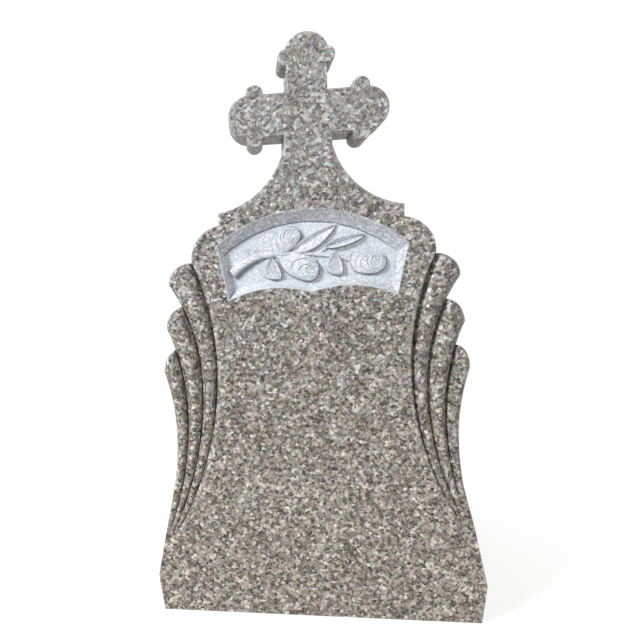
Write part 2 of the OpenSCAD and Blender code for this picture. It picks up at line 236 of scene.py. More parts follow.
def slab_half(s):
    """Half outline of the slab with its cross, upwards: (x, z, 1 beside a roll and else 0)."""
    pts = [(HALF_W - FOOT_LEAN, 0, 0), (HALF_W - CORNER_IN, FOOT_H - CORNER_DOWN, 0), (HALF_W, FOOT_H, 0),
           (flare_x(TAIL_H[s]), TAIL_H[s], 0), (tail_x(0, s), TAIL_H[s], 1)]
    pts += [(groove_x(0, z, s), z, 1) for z in
            (TAIL_H[s] + (SHOULDER_Z - TAIL_H[s]) * k / EDGE_STEPS for k in range(1, EDGE_STEPS))]
    a, b = (SHOULDER_X, SHOULDER_Z), (STEP_X, SHOULDER_TOP)
    r = math.dist(a, b) / math.sqrt(2) * SHOULDER_EASE
    pts += [(x, z, 0) for x, z in arc_between(arc_centre(a, b, r), r, a, b, SHOULDER_STEPS, 1)]
    a, b = (STEP_X, STEP_Z), (NECK_X, NECK_Z)
    slope = arc_between(arc_centre(b, a, GABLE_R), GABLE_R, a, b, GABLE_STEPS, -1)
    pts += [(x, z, 0) for x, z in slope]
    return pts + [(x, z, 0) for x, z in cross_half()[1:]]


def panel_loop(arch_in, side_in, foot_in):
    """Outline of the panel, anticlockwise from the left foot, with its edges moved inwards."""
    arch_c, arch_r = (ARCH_SHIFT, CROWN_Z - ARCH_R), ARCH_R - arch_in
    hump_r = HUMP_R + foot_in
    humps = [((2 * s - 1) * HUMP_X[s], SHOULDER_Z - HUMP_DROP[s] - HUMP_R) for s in (0, 1)]
    sides = [((2 * s - 1) * (PANEL_X - PANEL_LEAN[s] - side_in), SIDE_FOOT_Z,
              (2 * s - 1) * (PANEL_X - side_in), SPRING_Z) for s in (0, 1)]
    low = [line_circle(e[:2], e[2:], humps[s], hump_r, False) for s, e in enumerate(sides)]
    top = [line_circle(e[:2], e[2:], arch_c, arch_r, False) for e in sides]
    cusp = circles_meet(humps[0], hump_r, humps[1], hump_r, True)
    pts = arc_between(humps[0], hump_r, low[0], cusp, HUMP_STEPS[0], -1)[:-1]
    pts += arc_between(humps[1], hump_r, cusp, low[1], HUMP_STEPS[1], -1)[:-1]
    pts += straight(low[1], top[1], SIDE_STEPS)
    pts += arc_between(arch_c, arch_r, top[1], top[0], ARCH_STEPS, 1)[:-1]
    pts += straight(top[0], low[0], SIDE_STEPS)
    return np.array(pts)


WAVES_ROUND = (9, 17, 31, 47, 63)    # waves that an uneven edge has round its whole loop


def wobble(n, size, seed):
    """Smooth closed noise round a loop: the unevenness of an edge cut by hand."""
    rng = np.random.default_rng(seed)
    a = np.linspace(0, 2 * np.pi, n, endpoint=False)
    out = np.zeros(n)
    for k in WAVES_ROUND:
        out += rng.normal() * np.sin(k * a + rng.uniform(0, 2 * np.pi))
    return size * out / np.sqrt(len(WAVES_ROUND) / 2)


TINY = 1e-9                          # keeps a division by a length of nothing from failing
LEAST_COSINE = 0.4                   # limits how far a mitre reaches at a sharp corner


def normals_2d(pts):
    """Outward normals with mitre length of an anticlockwise closed loop."""
    p = np.asarray(pts, float)
    d = np.roll(p, -1, 0) - p
    d /= np.linalg.norm(d, axis=1)[:, None]
    n = np.stack([d[:, 1], -d[:, 0]], 1)
    m = n + np.roll(n, 1, 0)
    m /= np.maximum(np.linalg.norm(m, axis=1), TINY)[:, None]
    cosine = np.maximum((m * n).sum(1), LEAST_COSINE)
    return m / cosine[:, None]


# ---------------------------------------------------------------- meshes
def ring_faces(rings, n):
    """Faces between rings of n points each that follow one another in a mesh."""
    return [(j * n + k, j * n + (k + 1) % n, (j + 1) * n + (k + 1) % n, (j + 1) * n + k)
            for j in range(rings - 1) for k in range(n)]


def make_object(name, verts, faces, material, wear_and_painted_light=None, painted_shade=None):
    """A mesh from points in millimetres, with up to two values at each point for its material.

    The first value is 1 on a pale arris of polished stone, rubbed and in part a painted highlight,
    and where the frosting lets the granite show, which also paints light and shade on the panel's
    reveals. The second is 1 deep in a cut, painted dark as shade."""
    mesh = bpy.data.meshes.new(name)
    mesh.from_pydata([tuple(np.asarray(v) * MM) for v in verts], [], faces)
    mesh.validate()
    for key, values in (("wear_and_painted_light", wear_and_painted_light), ("painted_shade", painted_shade)):
        if values is not None:
            layer = mesh.attributes.new(key, "FLOAT", "POINT")
            layer.data.foreach_set("value", np.asarray(values, np.float32))
    mesh.materials.append(material)
    obj = bpy.data.objects.new(name, mesh)
    bpy.context.scene.collection.objects.link(obj)
    return obj


def keep(obj, slot, *nodes):
    """Says which body a piece rides on and hides the CAD nodes it stands for. slot, its material slot, is
    not used.
    """
    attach(obj, "root")
    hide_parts(*nodes)


def fix_normals(obj, sharp=35):
    """Turns the faces outwards and shades smooth all but the edges above sharp degrees."""
    bm = bmesh.new()
    bm.from_mesh(obj.data)
    bmesh.ops.recalc_face_normals(bm, faces=bm.faces)
    bm.to_mesh(obj.data)
    bm.free()
    obj.data.polygons.foreach_set("use_smooth", [True] * len(obj.data.polygons))
    obj.data.set_sharp_from_angle(angle=math.radians(sharp))


# ---------------------------------------------------------------- materials
class Nodes:
    """Shorthand for the node tree of a material or a world."""

    def __init__(self, owner, output="ShaderNodeOutputMaterial"):
        self.owner = owner
        owner.use_nodes = True
        self.tree = owner.node_tree
        self.tree.nodes.clear()
        self.out = self.add(output)

    def add(self, kind, links=(), **settings):
        """A node with links to its inputs. in_NAME sets an input and NAME a property."""
        node = self.tree.nodes.new(kind)
        for key, value in settings.items():
            if key.startswith("in_"):
                node.inputs[key[3:]].default_value = value
            else:
                setattr(node, key, value)
        for socket, source in dict(links).items():
            self.tree.links.new(source, node.inputs[socket])
        return node

    def put(self, socket, value):
        """Links a node's output to a socket, or sets the socket to a number or a colour."""
        if hasattr(value, "is_output"):
            self.tree.links.new(value, socket)
        else:
            socket.default_value = (*value, 1) if socket.type == "RGBA" else value

    def finish(self, shader):
        """Links a shader to the output and returns the material or the world."""
        self.tree.links.new(shader.outputs[0], self.out.inputs[0])
        return self.owner

    def ramp(self, source, stops, interpolation="LINEAR"):
        """Colour of source by a row of (place, colour) stops."""
        node = self.add("ShaderNodeValToRGB", {0: source})
        node.color_ramp.interpolation = interpolation
        while len(node.color_ramp.elements) < len(stops):
            node.color_ramp.elements.new(0.5)
        for element, (pos, colour) in zip(node.color_ramp.elements, stops):
            element.position = pos
            element.color = (*colour, 1)
        return node.outputs["Color"]

    def mix(self, factor, a, b, mode="MIX"):
        """Colour a turned towards colour b by a factor from 0 to 1."""
        node = self.add("ShaderNodeMix", data_type="RGBA", blend_type=mode, clamp_factor=True)
        for index, value in ((0, factor), (6, a), (7, b)):
            self.put(node.inputs[index], value)
        return node.outputs[2]

    def multiply(self, colour, by):
        return self.mix(1.0, colour, by, "MULTIPLY")

    def maths(self, operation, a, b):
        node = self.add("ShaderNodeMath", operation=operation)
        self.put(node.inputs[0], a)
        self.put(node.inputs[1], b)
        return node.outputs[0]

    def point_value(self, name):
        """The value of that name that a mesh carries at its points."""
        return self.add("ShaderNodeAttribute", attribute_name=name).outputs["Fac"]

    def seen(self):
        """1 for a ray from the camera, a mirror or a glass, and 0 for a ray of light."""
        ray = self.add("ShaderNodeLightPath").outputs
        bent = self.maths("MAXIMUM", ray["Is Glossy Ray"], ray["Is Transmission Ray"])
        return self.maths("MAXIMUM", ray["Is Camera Ray"], bent)


def new_material(name):
    return Nodes(bpy.data.materials.new(name))


def srgb(*levels):
    """Linear colour from display levels, each 0 to 255."""
    shares = (level / 255 for level in levels)
    return tuple(c / 12.92 if c <= 0.04045 else ((c + 0.055) / 1.055) ** 2.4 for c in shares)


# Minerals of the granite, dark to light, each with where its share of the stone begins.
MINERALS = [
    (0.00, srgb(44, 40, 38)), (0.10, srgb(72, 66, 61)), (0.22, srgb(102, 95, 88)),
    (0.38, srgb(132, 126, 120)), (0.55, srgb(159, 154, 147)), (0.71, srgb(180, 175, 168)),
    (0.84, srgb(208, 205, 199)), (0.94, srgb(240, 238, 233)),
]
# Hues that the grains take, each with where its share begins.
TINTS = [
    (0.00, srgb(128, 128, 128)), (0.38, srgb(132, 128, 124)), (0.55, srgb(120, 133, 123)),
    (0.68, srgb(137, 121, 130)), (0.81, srgb(117, 128, 138)), (0.93, srgb(140, 131, 108)),
]
GRAIN, FROSTED_GRAIN = 0.0060, 0.0046   # metres across a coarse grain
FINE, FINE_SHARE = 0.52, 0.36           # size of the fine grains beside the coarse, and their weight
BEND = 0.8                              # how far the grains' edges are bent, in grains
TINT_GAIN = (4.1, 4.1, 4.2)             # a tint is near mid grey, so this brings the colour back up
CLOUDS, PATCHES, SAND, PECKS = 27.0, 38.0, 330.0, 620.0     # patterns, in repeats to the metre


def granite_colour(m, grain):
    """Speckled granite in coarse and fine 3-D cells.

    Returns the place in the object, the colour, and the random values of both sizes of cell."""
    place = m.add("ShaderNodeTexCoord").outputs["Object"]
    drift = m.add("ShaderNodeTexNoise", {"Vector": place}, in_Scale=BEND / grain, in_Detail=2.0)
    shift = m.add("ShaderNodeVectorMath", {0: drift.outputs["Color"]}, operation="SUBTRACT")
    shift.inputs[1].default_value = (0.5, 0.5, 0.5)
    scaled = m.add("ShaderNodeVectorMath", {0: shift.outputs[0]}, operation="SCALE")
    scaled.inputs["Scale"].default_value = grain * BEND
    bent = m.add("ShaderNodeVectorMath", {0: place, 1: scaled.outputs[0]}, operation="ADD").outputs[0]
    minerals, tints, values = [], [], []
    for size in (1.0, FINE):
        cells = m.add("ShaderNodeTexVoronoi", {"Vector": bent}, in_Scale=1 / (grain * size))
        parts = m.add("ShaderNodeSeparateColor", {0: cells.outputs["Color"]}).outputs
        minerals.append(m.ramp(parts[0], MINERALS, "CONSTANT"))
        tints.append(m.ramp(parts[1], TINTS, "CONSTANT"))
        values.append(parts)
    body = m.multiply(m.mix(FINE_SHARE, *minerals), m.mix(0.5, *tints))
    return place, m.multiply(body, TINT_GAIN), values


def polished_granite():
    """Polished face: cloudy, browner at the foot and greyer at the cross, with pale rubbed arrises that
    are in part a painted highlight.
    """
    m = new_material("polished_granite")
    place, body, (coarse, fine) = granite_colour(m, GRAIN)
    cloud = m.add("ShaderNodeTexNoise", {"Vector": place}, in_Scale=CLOUDS, in_Detail=4.0).outputs["Fac"]
    body = m.multiply(body, m.ramp(cloud, [(0.3, (0.86, 0.85, 0.84)), (0.7, (1.13, 1.13, 1.14))]))
    height = m.add("ShaderNodeSeparateXYZ", {0: place}).outputs[2]
    body = m.multiply(body, m.ramp(height, [(0.15, (1.03, 0.985, 0.94)), (0.55, (0.90, 0.89, 0.87)),
                                            (1.0, (0.86, 0.885, 0.915))]))
    quiet = m.ramp(height, [(0.85, (0, 0, 0)), (1.0, (0.16, 0.16, 0.16))])
    body = m.mix(quiet, body, srgb(154, 153, 151))
    # Pale arrises: rubbed, and in part a painted highlight.
    body = m.mix(m.maths("MULTIPLY", m.point_value("wear_and_painted_light"), 0.35), body, srgb(196, 192, 188))
    rough = m.maths("ADD", m.maths("MULTIPLY", coarse[2], 0.12), 0.36)
    bump = m.add("ShaderNodeBump", {"Height": fine[0]}, in_Strength=0.12, in_Distance=0.0004)
    links = {"Base Color": body, "Roughness": rough, "Normal": bump.outputs[0]}
    shader = m.add("ShaderNodeBsdfPrincipled", links)
    shader.inputs["Specular IOR Level"].default_value = 0.35
    return m.finish(shader)


def frosted_granite():
    """Granite worked with a fine point: whitened, with the dark grains showing through."""
    m = new_material("frosted_granite")
    place, body, _ = granite_colour(m, FROSTED_GRAIN)
    sand = m.add("ShaderNodeTexNoise", {"Vector": place}, in_Scale=SAND, in_Detail=5.0, in_Roughness=0.75)
    sand = sand.outputs["Fac"]
    patch = m.add("ShaderNodeTexNoise", {"Vector": place}, in_Scale=PATCHES, in_Detail=3.0).outputs["Fac"]
    white = m.ramp(patch, [(0.3, (0.65, 0.69, 0.76)), (0.7, (0.73, 0.75, 0.80))])
    # Granite showing through the frosting, placed in part as painted light and shade on the reveals.
    bare_and_painted_light = m.maths("ADD", m.maths("MULTIPLY", m.point_value("wear_and_painted_light"), 0.30), 0.30)
    body = m.mix(bare_and_painted_light, white, m.multiply(body, (1.10, 1.16, 1.24)))
    body = m.multiply(body, m.ramp(sand, [(0.36, (0.64, 0.65, 0.67)), (0.64, (1.30, 1.30, 1.29))]))
    # Painted shade: darkens the frosting deep in cuts, at the foot of carved walls and along the chased
    # line.
    body = m.mix(m.point_value("painted_shade"), body, m.multiply(body, (0.34, 0.35, 0.38)))
    peck = m.add("ShaderNodeTexVoronoi", {"Vector": place}, in_Scale=PECKS, feature="SMOOTH_F1")
    height = m.maths("ADD", sand, peck.outputs["Distance"])
    bump = m.add("ShaderNodeBump", {"Height": height}, in_Strength=0.55, in_Distance=0.0009)
    shader = m.add("ShaderNodeBsdfPrincipled", {"Base Color": body, "Normal": bump.outputs[0]})
    shader.inputs["Roughness"].default_value = 0.82
    shader.inputs["Specular IOR Level"].default_value = 0.25
    return m.finish(shader)


GRANITE = polished_granite()
FROSTED = frosted_granite()

# ---------------------------------------------------------------- the slab with its cross
# Radii of the arrises: round the face, beside the rolls, on the ledge over the foot, at the back
ARRIS, ROLL_ARRIS, LEDGE_ARRIS, BACK_ARRIS = 3.0, 8.0, 0.3, 1.6
PLAIN = 1.5                          # flat strip that holds the shading beside an arris
ARRIS_WEAR_AND_HIGHLIGHT, POCKET_WEAR_AND_HIGHLIGHT = 0.5, 0.7         # how pale an arris is on the slab and at the panel: rubbed, and in part a painted highlight
# Lengths over which the rolls die out on the foot, left and right, and over which the wide
# arris beside them narrows under the shoulder
TAIL_FADE, TOP_EASE = (48.0, 100.0), 40.0
# Steps round an arris, as shares of its radius: in from the outline and back from the face
ROUND = [(1 - math.cos(a), 1 - math.sin(a)) for a in (math.radians(d) for d in range(90, -1, -18))]
PALE_STEPS = 2                       # how many of them are pale on the face's side: rubbed, and in part a painted highlight
EDGE_ROUGH, FLOOR_EDGE_ROUGH = 0.35, 0.25     # unevenness of the panel's edge and its floor's edge
EDGE_SEED, FLOOR_EDGE_SEED, FLOOR_SEED = 7, 11, 3


def fade(z, s):
    """0 where a roll dies out on the foot, 1 from TAIL_FADE above that."""
    t = min(1.0, max(0.0, (z - TAIL_H[s]) / TAIL_FADE[s]))
    return t * t * (3 - 2 * t)


def edge_round(x, z, beside):
    """Radius of the worn edge of the face, wider where the field drops to a roll."""
    s = int(x > 0)
    if not beside:
        return LEDGE_ARRIS if abs(z - TAIL_H[s]) < 0.01 else ARRIS
    run = min(1.0, (SHOULDER_Z - z) / TOP_EASE)
    return ARRIS * (1 - run) + run * (LEDGE_ARRIS + (ROLL_ARRIS - LEDGE_ARRIS) * fade(z, s))


def panel_edge():
    """The edge of the panel on the face, slightly uneven as it was cut by hand."""
    loop = panel_loop(0, 0, 0)
    loop = loop - normals_2d(loop) * wobble(len(loop), EDGE_ROUGH, EDGE_SEED)[:, None]
    return loop + np.array([PANEL_SHIFT, 0])


def build_slab():
    """Rings of the outline from the face round the edge to the back, with the panel's pocket."""
    outline = slab_half(1) + [(-x, z, k) for x, z, k in reversed(slab_half(0))][1:]
    xz = np.array(outline, float)[:, :2]
    free = 1 - np.array(outline, float)[:, 2]        # 0 where a roll stands against the slab
    out = normals_2d(xz)
    verts, wear_and_painted_light, rings = [], [], []

    # A ring can pale its points as a rubbed arris, in part a painted highlight.
    def ring(points, y, wear_and_highlight=0.0):
        rings.append(list(range(len(verts), len(verts) + len(points))))
        verts.extend(zip(points[:, 0], np.broadcast_to(y, len(points)), np.maximum(points[:, 1], 0)))
        wear_and_painted_light.extend([wear_and_highlight] * len(points))

    eased = np.array([edge_round(x, z, k) for x, z, k in outline])
    ring(xz - out * (eased + PLAIN)[:, None], FACE_Y)
    for k, (across, down) in enumerate(ROUND):
        ring(xz - out * (eased * across)[:, None], FACE_Y + eased * down, ARRIS_WEAR_AND_HIGHLIGHT if k < PALE_STEPS else 0.0)
    ring(xz, FACE_Y + eased + PLAIN)
    ring(xz, BACK_Y - BACK_ARRIS - PLAIN)
    for across, down in reversed(ROUND):
        ring(xz - out * (BACK_ARRIS * free * across)[:, None], BACK_Y - BACK_ARRIS * down, ARRIS_WEAR_AND_HIGHLIGHT)
    ring(xz - out * (BACK_ARRIS * free + PLAIN * free)[:, None], BACK_Y)
    last = len(rings)
    hole = panel_edge()
    ring(hole + normals_2d(hole) * PLAIN, FACE_Y)
    ring(hole, FACE_Y, POCKET_WEAR_AND_HIGHLIGHT)
    ring(hole, FLOOR_Y + PANEL_T)
    faces = []
    for chain in (rings[:last], rings[last:]):
        for a, b in zip(chain, chain[1:]):
            faces += [(a[k], a[k - 1], b[k - 1], b[k]) for k in range(len(a))]
    faces.append(tuple(rings[-1]))
    obj = make_object("slab_and_cross", verts, faces, GRANITE, wear_and_painted_light=wear_and_painted_light)
    bm = bmesh.new()
    bm.from_mesh(obj.data)
    bm.verts.ensure_lookup_table()
    for loops in ((rings[0], rings[last]), (rings[last - 1],)):      # the face, then the back
        edges = []
        for loop in loops:
            for k in range(len(loop)):
                pair = (bm.verts[loop[k]], bm.verts[loop[k - 1]])
                edges.append(bm.edges.get(pair) or bm.edges.new(pair))
        bmesh.ops.triangle_fill(bm, edges=edges, use_beauty=True, use_dissolve=False)
    bm.to_mesh(obj.data)
    bm.free()
    fix_normals(obj, sharp=24)
    keep(obj, "polished_granite", "stele", "cross")


build_slab()

# ---------------------------------------------------------------- the side rolls
ROLL_ARCS, ROLL_LEVELS, HEAD_LEVELS = 40, 150, 30
FLANK = 1.5                          # 1 gives half-round rolls, more gives rounder grooves between
LEAST_W, LEAST_DEEP = 0.2, 0.02      # keeps the sections from closing up at the ends
HEAD_STEP, LEAST_HEAD_W = 0.25, 1.2  # the head's top is where it gets this narrow, found in steps


def roll_front(i, z, s):
    """Y of the crest of a roll, which turns back over the nose of its head."""
    top = head_z(i) + HEAD_R[i]
    t = min(1.0, max(0.0, (z - (top - NOSE)) / NOSE))
    return FACE_Y + ROLL_SET * fade(z, s) + NOSE * (1 - math.sqrt(1 - t * t))


def head_top(i, s):
    """Height where the round head of a roll meets the line on its inner side."""
    z = head_z(i)
    while z < head_z(i) + HEAD_R[i]:
        above = z + HEAD_STEP
        if roll_out(i, above, s) <= groove_x(i, above, s) + LEAST_HEAD_W:
            break
        z = above
    return z


def build_roll(name, i, s):
    """Sections across a roll at each level, lofted from its tail on the foot to its head."""
    sign = 2 * s - 1
    top = head_top(i, s)
    q1 = math.asin(min(1.0, (top - head_z(i)) / HEAD_R[i]))
    levels = [TAIL_H[s] + (head_z(i) - TAIL_H[s]) * k / ROLL_LEVELS for k in range(ROLL_LEVELS + 1)]
    levels += [head_z(i) + HEAD_R[i] * math.sin(q1 * k / HEAD_LEVELS) for k in range(1, HEAD_LEVELS + 1)]
    verts = []
    for z in levels:
        a = groove_x(i, z, s)
        b = max(a + LEAST_W, roll_out(i, z, s))
        w = b - a
        deep = max(LEAST_DEEP, min(GROOVE_MAX, GROOVE_RATIO * w) * fade(z, s))
        y0 = roll_front(i, z, s)
        ring = [(a + w * (1 - math.cos(q)) / 2, y0 + deep * (1 - math.sin(q) ** FLANK))
                for q in (math.pi * k / ROLL_ARCS for k in range(ROLL_ARCS + 1))]
        soft = min(BACK_ARRIS, w * 0.4)
        eased = soft * 0.3
        ring += [(b, BACK_Y - soft), (b - eased, BACK_Y - eased), (b - soft, BACK_Y), (a, BACK_Y)]
        verts += [(sign * x, y, z) for x, y in ring]
    n = len(verts) // len(levels)
    faces = [tuple(range(n)), tuple(range(len(verts) - n, len(verts)))] + ring_faces(len(levels), n)
    obj = make_object(name, verts, faces, GRANITE)
    fix_normals(obj)
    keep(obj, "polished_granite", name)


for s, side in enumerate(("left", "right")):
    for i, which in enumerate(("inner", "middle", "outer")):
        build_roll(f"{side}_{which}_roll", i, s)


# ---------------------------------------------------------------- the frosted panel
CHASE_W, CHASE_D = 2.2, 1.6          # the line chased where the arch meets the panel's floor
CHASE_FADE, CHASE_LEFT = 60.0, 0.25  # it fades over this length at the right, to this share
REVEAL_STEPS, FLOOR_STEPS = 14, 46
SPRING_BLEND, ARCH_STRAIGHT = 12.0, 0.8      # the arch's reveal is straighter than the coved rest
FLOOR_WAVES, FLOOR_ROUGH, LEVEL_STEPS = 16, 0.9, 5      # the floor's edge is level for a few loops
FLOOR_MIDDLE = (4.0, 26.0)           # where its loops close: off the panel's middle and up


def reveal_loops(arch):
    """Loops down the reveals, as points and Y, from the edge on the face to the floor's edge."""
    loops = [(panel_edge(), np.full(len(arch), FACE_Y))]
    for k in range(REVEAL_STEPS + 1):
        t = k / REVEAL_STEPS
        loop = panel_loop(RIM + ARCH_SPLAY * t, RIM + SIDE_SPLAY * t, RIM + FOOT_SPLAY * t)
        rough = wobble(len(arch), EDGE_ROUGH * (1 - t), EDGE_SEED)
        rough += wobble(len(arch), FLOOR_EDGE_ROUGH * t, FLOOR_EDGE_SEED)
        loop = loop - normals_2d(loop) * rough[:, None] + np.array([PANEL_SHIFT, 0])
        cove = t + (math.sin(math.pi / 2 * t) - t) * (1 - ARCH_STRAIGHT * arch)
        loops.append((loop, FACE_Y + PANEL_D * cove))
    return loops


def floor_loops(inner, centre):
    """Loops over the floor, from beside the chased line to near its middle, in low waves."""
    rng = np.random.default_rng(FLOOR_SEED)
    waves = [(rng.uniform(0.02, 0.12, 2) * rng.choice([-1, 1], 2), rng.uniform(0, 6.28))
             for _ in range(FLOOR_WAVES)]
    chased = inner + (centre - inner) / np.linalg.norm(centre - inner, axis=1)[:, None] * CHASE_W
    loops = [(chased, np.full(len(inner), FLOOR_Y))]
    for k in range(1, FLOOR_STEPS):
        loop = centre + (chased - centre) * (1 - k / FLOOR_STEPS)
        rise = sum(np.sin(loop @ w + p) for w, p in waves) / FLOOR_WAVES
        loops.append((loop, FLOOR_Y - FLOOR_ROUGH * rise * min(1, k / LEVEL_STEPS)))
    return loops


def build_panel():
    """The frosted reveals and floor, on a closed block as thick as the frosting."""
    base = panel_loop(RIM, RIM, RIM)
    count = len(base)
    arch = np.clip((base[:, 1] - SPRING_Z + SPRING_BLEND / 2) / SPRING_BLEND, 0, 1)
    loops = reveal_loops(arch)
    edge, inner = loops[0][0], loops[-1][0]
    centre = np.array([PANEL_SHIFT + FLOOR_MIDDLE[0], SHOULDER_Z + FLOOR_MIDDLE[1]])
    # The frosting lets more granite show under the arch, less down the right side, and less inwards. This
    # darkens the arch's and the right side's reveals and leaves the left one whitest, partly painted
    # shade and light.
    right = np.clip(inner[:, 0] / PANEL_X, 0, 1)
    frosting_and_painted_light = [(0.05 + 0.8 * arch + 0.4 * right * (1 - arch)) * (1 - 0.35 * k / REVEAL_STEPS)
            for k in range(-1, REVEAL_STEPS + 1)]
    frosting_and_painted_light[-1] = frosting_and_painted_light[-1] * 0.5
    # The chased line is cut into the floor and darkened with painted shade, strongest on the left and
    # fading at the right.
    chase = arch * np.clip((PANEL_X - inner[:, 0]) / CHASE_FADE, CHASE_LEFT, 1)
    painted_shade = [np.zeros(count)] * (len(loops) - 1) + [chase, 0.3 * chase]
    loops[-1] = (inner, FLOOR_Y + CHASE_D * chase)
    loops += floor_loops(inner, centre)
    verts = [(p[0], y, p[1]) for loop, ys in loops for p, y in zip(loop, ys)]
    faces = ring_faces(len(loops), count)
    last = (len(loops) - 1) * count
    faces += [(last + k, last + (k + 1) % count, len(verts)) for k in range(count)]
    verts.append((centre[0], FLOOR_Y, centre[1]))
    back = len(verts)
    verts += [(p[0], FLOOR_Y + PANEL_T, p[1]) for p in edge]
    faces += [(k, (k + 1) % count, back + (k + 1) % count, back + k) for k in range(count)]
    faces.append(tuple(range(back, back + count)))
    painted_shade, frosting_and_painted_light = (np.concatenate(rows + [np.zeros(len(verts) - len(rows) * count)])
                     for rows in (painted_shade, frosting_and_painted_light))
    obj = make_object("frosted_panel", verts, faces, FROSTED, wear_and_painted_light=frosting_and_painted_light, painted_shade=painted_shade)
    fix_normals(obj, sharp=40)
    keep(obj, "frosted_granite", "frosted_panel")


build_panel()

# ---------------------------------------------------------------- the rose spray
SUNK = -2.0                          # the pieces reach this far into the panel's floor
# Rings round a carved piece: how far out, how high above the floor and how much painted shade each takes
SKIRT = ((0.3, 0.6, 1.0), (2.2, 0.42, 0.85), (4.4, 0.25, 0.0), (4.4, SUNK, 0.0))
SHADED_SIDE = np.array([0.66, -0.75])   # the side whose walls take most painted shade: right and down, away from the light
# Painted shade of a wall that faces across that way, what facing it adds, and the least of all
WALL_DARK, WALL_TURN, LEAST_DARK = 0.28, 0.95, 0.07


def stand_up(points):
    """Carving is laid out across, up and out from the panel floor, about the panel's middle."""
    return [(PANEL_SHIFT + u, FLOOR_Y - h, SHOULDER_Z + w) for u, w, h in points]


def spline(knots, n, closed=False):
    """n + 1 points of a smooth curve through the knots, evenly spaced knot by knot."""
    p = np.asarray(knots, float)
    count = len(p)
    t = np.linspace(0, count if closed else count - 1, n + 1)
    i = np.minimum(np.floor(t).astype(int), (count if closed else count - 1) - 1)
    f = (t - i)[:, None]

    def at(k):
        return p[k % count] if closed else p[np.clip(k, 0, count - 1)]
    a, b, c, d = at(i - 1), at(i), at(i + 1), at(i + 2)
    return 0.5 * (2 * b + (c - a) * f + (2 * a - 5 * b + 4 * c - d) * f ** 2
                  + (3 * b - a - 3 * c + d) * f ** 3)


def skirt(loop):
    """Rings round a carved piece: the foot of its wall, the scooped ground, and under it.

    Painted shade lies on the walls and the ground at their foot, darkest on the lower right, away from
    the light."""
    d = np.roll(loop, -1, 0)[:, :2] - np.roll(loop, 1, 0)[:, :2]
    area = (loop[:, 0] * np.roll(loop[:, 1], -1) - np.roll(loop[:, 0], -1) * loop[:, 1]).sum()
    out = np.stack([d[:, 1], -d[:, 0]], 1) / np.maximum(np.linalg.norm(d, axis=1), TINY)[:, None]
    out *= math.copysign(1, area)
    for _ in range(3):
        out = (out + np.roll(out, 1, 0) + np.roll(out, -1, 0)) / 3
    # Painted shade, heaviest on walls that face right and down, away from the light.
    under = np.clip(out @ SHADED_SIDE * WALL_TURN + WALL_DARK, LEAST_DARK, 1)
    rings = []
    for away, high, dark in SKIRT:
        ring = np.concatenate([loop[:, :2] + out * away, np.full((len(loop), 1), high)], 1)
        rings.append((ring, under * dark))
    return rings


def carve(name, points, shade, faces, loop):
    """Closes a carved skin along its border loop. shade is the painted shade at each point."""
    grid, tone, base = [points], [shade], len(points)
    previous = list(loop)
    n = len(previous)
    for ring, dark in skirt(points[previous]):
        current = [base + k for k in range(n)]
        faces += [(previous[k], current[k], current[k - 1], previous[k - 1]) for k in range(n)]
        grid.append(ring)
        tone.append(dark)
        previous, base = current, base + n
    faces.append(tuple(previous))
    obj = make_object(name, stand_up(np.concatenate(grid)), faces, FROSTED, painted_shade=np.concatenate(tone))
    fix_normals(obj, sharp=50)
    return obj


def solid_sheet(name, top, shade):
    """A carved piece whose skin is a grid of points."""
    rows, cols = top.shape[:2]
    faces = [(j * cols + k, j * cols + k + 1, (j + 1) * cols + k + 1, (j + 1) * cols + k)
             for j in range(rows - 1) for k in range(cols - 1)]
    rim = list(range(cols)) + [j * cols + cols - 1 for j in range(1, rows)]
    rim += [(rows - 1) * cols + k for k in range(cols - 2, -1, -1)]
    rim += [j * cols for j in range(rows - 2, 0, -1)]
    return carve(name, top.reshape(-1, 3), shade.ravel(), faces, rim)


LEAF_ROWS, LEAF_COLS = 90, 40
RIB_W, RIB_H, VEIN_D = 1.2, 0.8, 0.5         # the raised midrib, and the depth of the side veins
VEIN_SLANT, VEIN_PEAK = 2.4 / 25, 6          # veins' lean towards the tip, and how narrow they are
RIM_DROP, RIM_SHARE = 1.4, 0.14              # the edge turns down over its last share of the width
LEAST_LEAF = 0.012                           # width left at the ends, as a share of the widest


